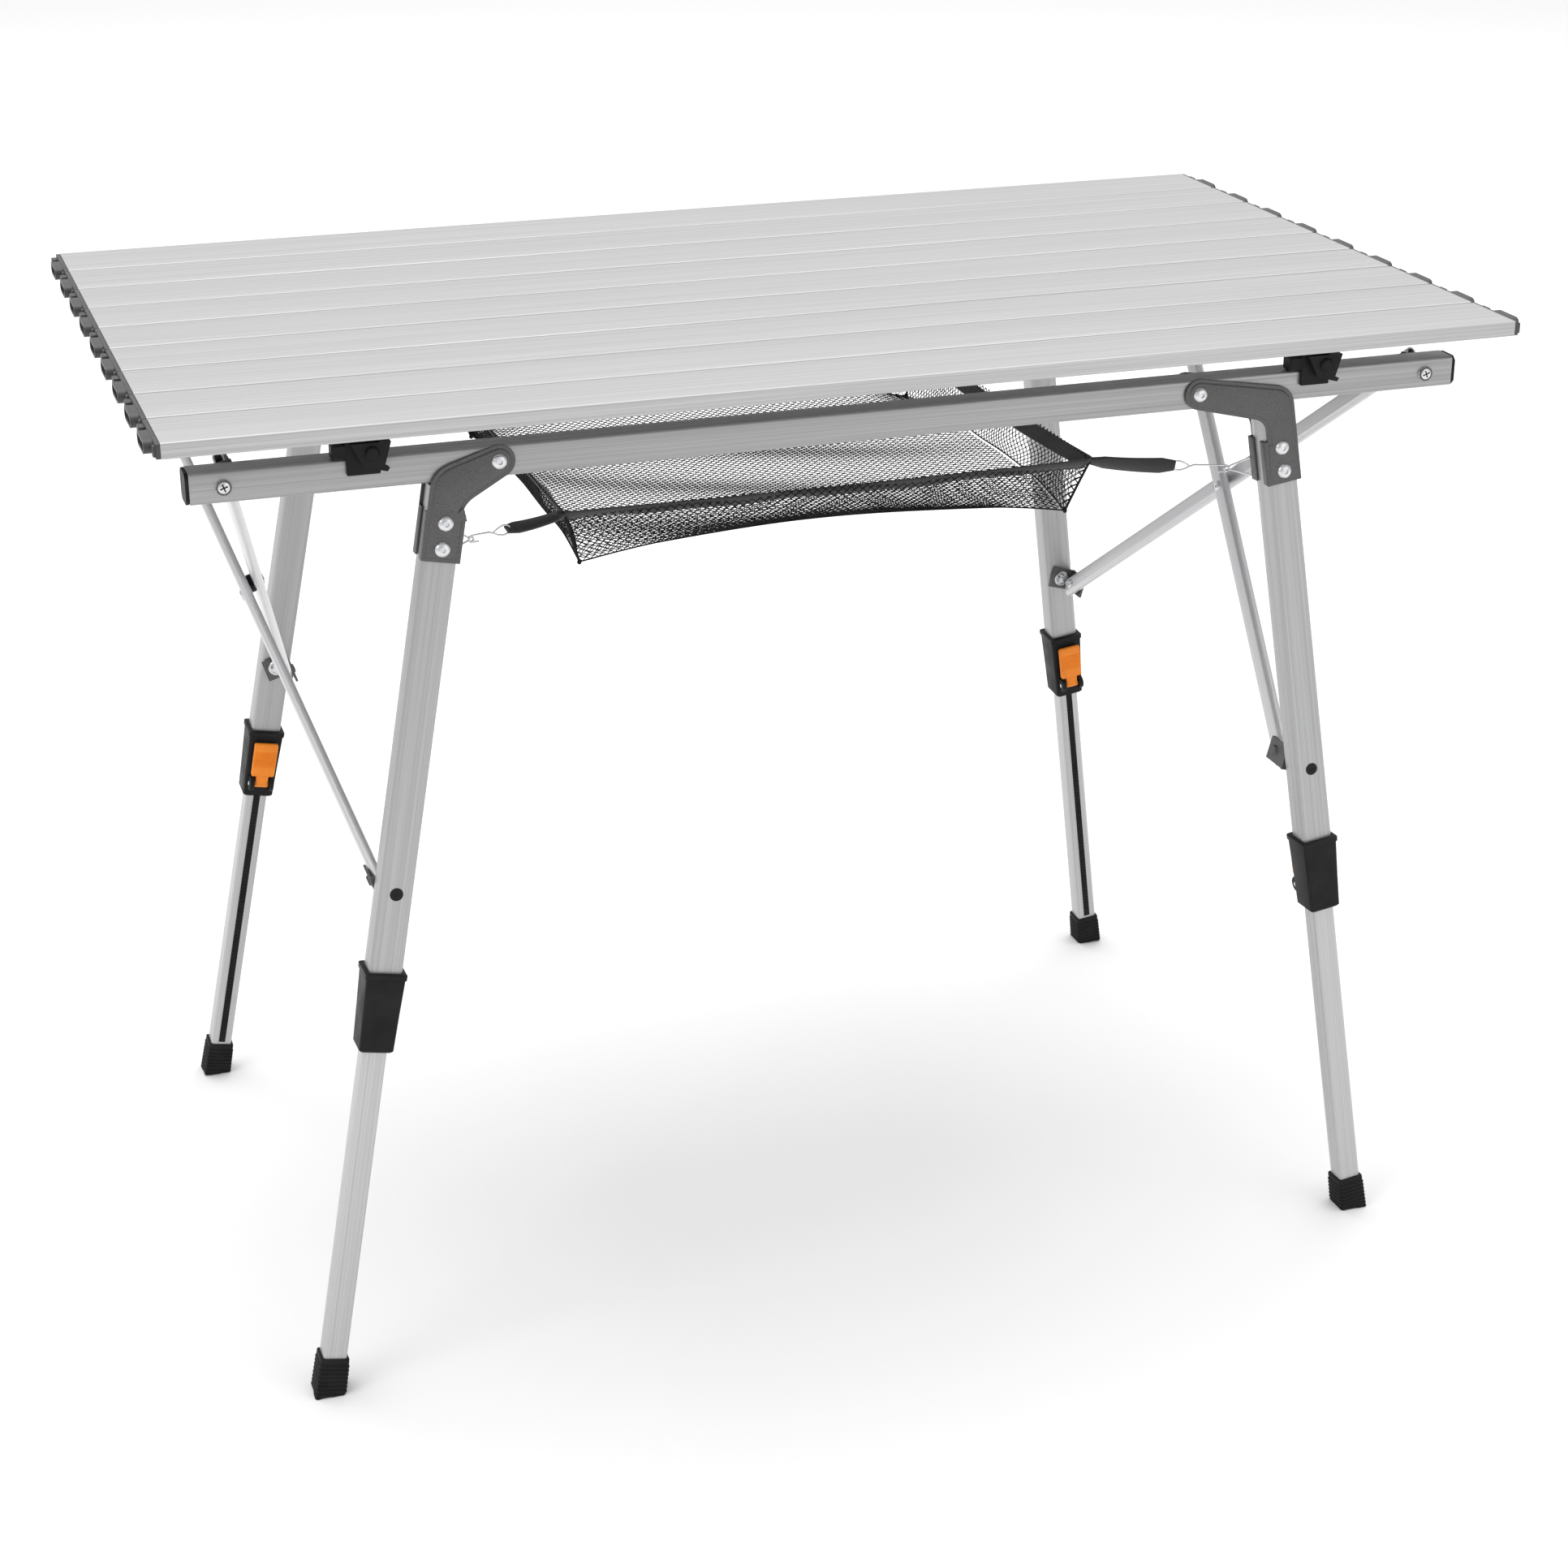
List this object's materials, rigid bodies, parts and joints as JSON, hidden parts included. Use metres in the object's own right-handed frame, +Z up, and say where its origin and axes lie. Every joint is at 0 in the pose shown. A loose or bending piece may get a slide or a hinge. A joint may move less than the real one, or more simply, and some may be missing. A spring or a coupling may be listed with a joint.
{
  "type": "folding camp kitchen table",
  "caption": "Roll-top aluminium camp table on bracketed telescoping legs with crossed end struts, clips that hold the top and a net tray under it.",
  "frame": {"origin": "on the floor under the centre of the top", "axes": "+X along the slats, -Y to the front, +Z up"},
  "size_m": [0.918, 0.517, 0.674],
  "materials": {
    "top_aluminium": "brushed along the slats, clear anodised",
    "frame_tube": "satin anodised extrusion",
    "hammered_steel": "grey hammered paint",
    "zinc_steel": "zinc plated",
    "black_plastic": "moulded",
    "orange_plastic": "moulded",
    "foot_rubber": "ribbed",
    "net_fabric": "knotted mesh with a webbing hem"
  },
  "bodies": {
    "front_rail": {"rail_front": "frame_tube", "rail_cap_front_left": "black_plastic", "rail_cap_front_right": "black_plastic", "clip_base_front_left": "black_plastic", "clip_base_front_right": "black_plastic", "storage_net": "net_fabric"},
    "rear_rail": {"rail_rear": "frame_tube", "rail_cap_rear_left": "black_plastic", "rail_cap_rear_right": "black_plastic", "clip_base_rear_left": "black_plastic", "clip_base_rear_right": "black_plastic"},
    "latch_front_left": {"clip_latch_front_left": "black_plastic"},
    "leg_front_left": {"upper_leg_front_left": "frame_tube", "leg_bracket_front_left": "hammered_steel", "collar_front_left": "black_plastic"},
    "lower_front_left": {"lower_leg_front_left": "frame_tube", "foot_front_left": "foot_rubber"},
    "lever_front_left": {"cam_lever_front_left": "orange_plastic"},
    "top_swivel_front_left": {"rail_swivel_front_left": "zinc_steel"},
    "strut_front_left": {"strut_front_left": "frame_tube"},
    "bottom_swivel_front_left": {"leg_swivel_front_left": "zinc_steel"},
    "latch_front_right": {"clip_latch_front_right": "black_plastic"},
    "leg_front_right": {"upper_leg_front_right": "frame_tube", "leg_bracket_front_right": "hammered_steel", "collar_front_right": "black_plastic"},
    "lower_front_right": {"lower_leg_front_right": "frame_tube", "foot_front_right": "foot_rubber"},
    "lever_front_right": {"cam_lever_front_right": "orange_plastic"},
    "top_swivel_front_right": {"rail_swivel_front_right": "zinc_steel"},
    "strut_front_right": {"strut_front_right": "frame_tube"},
    "bottom_swivel_front_right": {"leg_swivel_front_right": "zinc_steel"},
    "latch_rear_left": {"clip_latch_rear_left": "black_plastic"},
    "leg_rear_left": {"upper_leg_rear_left": "frame_tube", "leg_bracket_rear_left": "hammered_steel", "collar_rear_left": "black_plastic"},
    "lower_rear_left": {"lower_leg_rear_left": "frame_tube", "foot_rear_left": "foot_rubber"},
    "lever_rear_left": {"cam_lever_rear_left": "orange_plastic"},
    "top_swivel_rear_left": {"rail_swivel_rear_left": "zinc_steel"},
    "strut_rear_left": {"strut_rear_left": "frame_tube"},
    "bottom_swivel_rear_left": {"leg_swivel_rear_left": "zinc_steel"},
    "latch_rear_right": {"clip_latch_rear_right": "black_plastic"},
    "leg_rear_right": {"upper_leg_rear_right": "frame_tube", "leg_bracket_rear_right": "hammered_steel", "collar_rear_right": "black_plastic"},
    "lower_rear_right": {"lower_leg_rear_right": "frame_tube", "foot_rear_right": "foot_rubber"},
    "lever_rear_right": {"cam_lever_rear_right": "orange_plastic"},
    "top_swivel_rear_right": {"rail_swivel_rear_right": "zinc_steel"},
    "strut_rear_right": {"strut_rear_right": "frame_tube"},
    "bottom_swivel_rear_right": {"leg_swivel_rear_right": "zinc_steel"},
    "slat_1": {"slat_1": "top_aluminium"},
    "slat_2": {"slat_2": "top_aluminium"},
    "slat_3": {"slat_3": "top_aluminium"},
    "slat_4": {"slat_4": "top_aluminium"},
    "slat_5": {"slat_5": "top_aluminium"},
    "slat_6": {"slat_6": "top_aluminium"},
    "slat_7": {"slat_7": "top_aluminium"},
    "slat_8": {"slat_8": "top_aluminium"},
    "slat_9": {"slat_9": "top_aluminium"}
  },
  "joints": [
    {"name": "fold", "type": "hinge", "parent": "front_rail", "child": "leg_front_left", "pos_m": [-0.2393, -0.206, 0.631], "axis": [0, -0.9983, 0.0584], "range_deg": [0, 30]},
    {"name": "rear_rail_slide", "type": "slide", "parent": "front_rail", "child": "rear_rail", "axis": [0, -1, 0], "range_m": [0, 0.0728]},
    {"name": "leg_hinge_front_right", "type": "hinge", "parent": "front_rail", "child": "leg_front_right", "pos_m": [0.2393, -0.206, 0.631], "axis": [0, 0.9983, -0.0584], "range_deg": [0, 30.1]},
    {"name": "leg_hinge_rear_left", "type": "hinge", "parent": "rear_rail", "child": "leg_rear_left", "pos_m": [-0.2393, 0.206, 0.631], "axis": [0, -0.9983, -0.0584], "range_deg": [0, 30.1]},
    {"name": "leg_hinge_rear_right", "type": "hinge", "parent": "rear_rail", "child": "leg_rear_right", "pos_m": [0.2393, 0.206, 0.631], "axis": [0, 0.9983, 0.0584], "range_deg": [0, 30.1]},
    {"name": "leg_length_front_left", "type": "slide", "parent": "leg_front_left", "child": "lower_front_left", "axis": [0.1848, 0.0574, 0.9811], "range_m": [0, 0.21]},
    {"name": "cam_lever_front_left", "type": "hinge", "parent": "leg_front_left", "child": "lever_front_left", "pos_m": [-0.33846, -0.21243, 0.25764], "axis": [-0.9828, 0.0108, 0.1845], "range_deg": [0, 90]},
    {"name": "clip_latch_front_left", "type": "hinge", "parent": "front_rail", "child": "latch_front_left", "pos_m": [-0.3194, -0.222, 0.646], "axis": [0, 1, 0], "range_deg": [0, 90]},
    {"name": "leg_length_front_right", "type": "slide", "parent": "leg_front_right", "child": "lower_front_right", "axis": [-0.1426, 0.0578, 0.9881], "range_m": [0, 0.21]},
    {"name": "cam_lever_front_right", "type": "hinge", "parent": "leg_front_right", "child": "lever_front_right", "pos_m": [0.34905, -0.21243, 0.25758], "axis": [-0.9898, -0.0083, -0.1424], "range_deg": [0, 90]},
    {"name": "clip_latch_front_right", "type": "hinge", "parent": "front_rail", "child": "latch_front_right", "pos_m": [0.3286, -0.222, 0.646], "axis": [0, 1, 0], "range_deg": [0, 90]},
    {"name": "leg_length_rear_left", "type": "slide", "parent": "leg_rear_left", "child": "lower_rear_left", "axis": [0.1848, -0.0574, 0.9811], "range_m": [0, 0.21]},
    {"name": "cam_lever_rear_left", "type": "hinge", "parent": "leg_rear_left", "child": "lever_rear_left", "pos_m": [-0.33846, 0.21243, 0.25764], "axis": [0.9828, 0.0108, -0.1845], "range_deg": [0, 90]},
    {"name": "clip_latch_rear_left", "type": "hinge", "parent": "rear_rail", "child": "latch_rear_left", "pos_m": [-0.3194, 0.222, 0.646], "axis": [0, 1, 0], "range_deg": [0, 90]},
    {"name": "leg_length_rear_right", "type": "slide", "parent": "leg_rear_right", "child": "lower_rear_right", "axis": [-0.1426, -0.0578, 0.9881], "range_m": [0, 0.21]},
    {"name": "cam_lever_rear_right", "type": "hinge", "parent": "leg_rear_right", "child": "lever_rear_right", "pos_m": [0.34905, 0.21243, 0.25758], "axis": [0.9898, -0.0083, 0.1424], "range_deg": [0, 90]},
    {"name": "clip_latch_rear_right", "type": "hinge", "parent": "rear_rail", "child": "latch_rear_right", "pos_m": [0.3286, 0.222, 0.646], "axis": [0, 1, 0], "range_deg": [0, 90]},
    {"name": "rail_swivel_front_left", "type": "hinge", "parent": "front_rail", "child": "top_swivel_front_left", "pos_m": [-0.4094, -0.1957, 0.631], "axis": [0, -1, 0], "range_deg": [0, 22.8]},
    {"name": "strut_tilt_front_left", "type": "hinge", "parent": "top_swivel_front_left", "child": "strut_front_left", "pos_m": [-0.40445, -0.1797, 0.63258], "axis": [-0.9525, 0, -0.3045], "range_deg": [0, 13.2]},
    {"name": "leg_swivel_rear_left", "type": "hinge", "parent": "strut_front_left", "child": "bottom_swivel_rear_left", "pos_m": [-0.31558, 0.19525, 0.35464], "axis": [0.9525, 0, 0.3045], "range_deg": [0, 13.2]},
    {"name": "rail_swivel_front_right", "type": "hinge", "parent": "front_rail", "child": "top_swivel_front_right", "pos_m": [0.4094, -0.1957, 0.631], "axis": [0, 1, 0], "range_deg": [0, 22.8]},
    {"name": "strut_tilt_front_right", "type": "hinge", "parent": "top_swivel_front_right", "child": "strut_front_right", "pos_m": [0.41442, -0.1797, 0.62966], "axis": [-0.966, 0, 0.2584], "range_deg": [0, 13.2]},
    {"name": "leg_swivel_rear_right", "type": "hinge", "parent": "strut_front_right", "child": "bottom_swivel_rear_right", "pos_m": [0.34023, 0.19521, 0.35233], "axis": [0.966, 0, -0.2584], "range_deg": [0, 13.2]},
    {"name": "rail_swivel_rear_left", "type": "hinge", "parent": "rear_rail", "child": "top_swivel_rear_left", "pos_m": [-0.4094, 0.1957, 0.631], "axis": [0, -1, 0], "range_deg": [0, 22.8]},
    {"name": "strut_tilt_rear_left", "type": "hinge", "parent": "top_swivel_rear_left", "child": "strut_rear_left", "pos_m": [-0.41435, 0.1797, 0.62942], "axis": [0.9525, 0, 0.3045], "range_deg": [0, 13.2]},
    {"name": "leg_swivel_front_left", "type": "hinge", "parent": "strut_rear_left", "child": "bottom_swivel_front_left", "pos_m": [-0.32549, -0.19525, 0.35148], "axis": [-0.9525, 0, -0.3045], "range_deg": [0, 13.2]},
    {"name": "rail_swivel_rear_right", "type": "hinge", "parent": "rear_rail", "child": "top_swivel_rear_right", "pos_m": [0.4094, 0.1957, 0.631], "axis": [0, 1, 0], "range_deg": [0, 22.8]},
    {"name": "strut_tilt_rear_right", "type": "hinge", "parent": "top_swivel_rear_right", "child": "strut_rear_right", "pos_m": [0.40438, 0.1797, 0.63234], "axis": [0.966, 0, -0.2584], "range_deg": [0, 13.2]},
    {"name": "leg_swivel_front_right", "type": "hinge", "parent": "strut_rear_right", "child": "bottom_swivel_front_right", "pos_m": [0.33019, -0.19521, 0.35502], "axis": [-0.966, 0, 0.2584], "range_deg": [0, 13.2]},
    {"name": "top_lift", "type": "slide", "parent": "front_rail", "child": "slat_5", "axis": [0, 0, 1], "range_m": [0, 0.4]},
    {"name": "roll_4", "type": "hinge", "parent": "slat_5", "child": "slat_4", "pos_m": [0, -0.02875, 0.664], "axis": [1, 0, 0], "range_deg": [0, 38.5]},
    {"name": "roll_6", "type": "hinge", "parent": "slat_5", "child": "slat_6", "pos_m": [0, 0.02875, 0.664], "axis": [-1, 0, 0], "range_deg": [0, 38.5]},
    {"name": "roll_3", "type": "hinge", "parent": "slat_4", "child": "slat_3", "pos_m": [0, -0.08625, 0.664], "axis": [1, 0, 0], "range_deg": [0, 38.5]},
    {"name": "roll_7", "type": "hinge", "parent": "slat_6", "child": "slat_7", "pos_m": [0, 0.08625, 0.664], "axis": [-1, 0, 0], "range_deg": [0, 38.5]},
    {"name": "roll_2", "type": "hinge", "parent": "slat_3", "child": "slat_2", "pos_m": [0, -0.14375, 0.664], "axis": [1, 0, 0], "range_deg": [0, 38.5]},
    {"name": "roll_8", "type": "hinge", "parent": "slat_7", "child": "slat_8", "pos_m": [0, 0.14375, 0.664], "axis": [-1, 0, 0], "range_deg": [0, 38.5]},
    {"name": "roll_1", "type": "hinge", "parent": "slat_2", "child": "slat_1", "pos_m": [0, -0.20125, 0.664], "axis": [1, 0, 0], "range_deg": [0, 38.5]},
    {"name": "roll_9", "type": "hinge", "parent": "slat_8", "child": "slat_9", "pos_m": [0, 0.20125, 0.664], "axis": [-1, 0, 0], "range_deg": [0, 38.5]}
  ],
  "couplings": [
    {"joint": "rear_rail_slide", "follows": "fold", "m_per_rad": 0.138},
    {"joint": "leg_hinge_front_right", "follows": "fold", "ratio": 0.98363},
    {"joint": "leg_hinge_rear_left", "follows": "fold", "ratio": 1},
    {"joint": "leg_hinge_rear_right", "follows": "fold", "ratio": 0.98363},
    {"joint": "rail_swivel_front_left", "follows": "fold", "ratio": 0.75249},
    {"joint": "strut_tilt_front_left", "follows": "fold", "ratio": 0.4349},
    {"joint": "leg_swivel_rear_left", "follows": "fold", "ratio": 0.4349},
    {"joint": "rail_swivel_front_right", "follows": "fold", "ratio": 0.75783},
    {"joint": "strut_tilt_front_right", "follows": "fold", "ratio": 0.43808},
    {"joint": "leg_swivel_rear_right", "follows": "fold", "ratio": 0.43808},
    {"joint": "rail_swivel_rear_left", "follows": "fold", "ratio": 0.75249},
    {"joint": "strut_tilt_rear_left", "follows": "fold", "ratio": 0.4349},
    {"joint": "leg_swivel_front_left", "follows": "fold", "ratio": 0.4349},
    {"joint": "rail_swivel_rear_right", "follows": "fold", "ratio": 0.75783},
    {"joint": "strut_tilt_rear_right", "follows": "fold", "ratio": 0.43808},
    {"joint": "leg_swivel_front_right", "follows": "fold", "ratio": 0.43808},
    {"joint": "roll_4", "follows": "top_lift", "rad_per_m": 1.6581},
    {"joint": "roll_6", "follows": "top_lift", "rad_per_m": 1.6581},
    {"joint": "roll_3", "follows": "top_lift", "rad_per_m": 1.6581},
    {"joint": "roll_7", "follows": "top_lift", "rad_per_m": 1.6581},
    {"joint": "roll_2", "follows": "top_lift", "rad_per_m": 1.6581},
    {"joint": "roll_8", "follows": "top_lift", "rad_per_m": 1.6581},
    {"joint": "roll_1", "follows": "top_lift", "rad_per_m": 1.6581},
    {"joint": "roll_9", "follows": "top_lift", "rad_per_m": 1.6581}
  ]
}
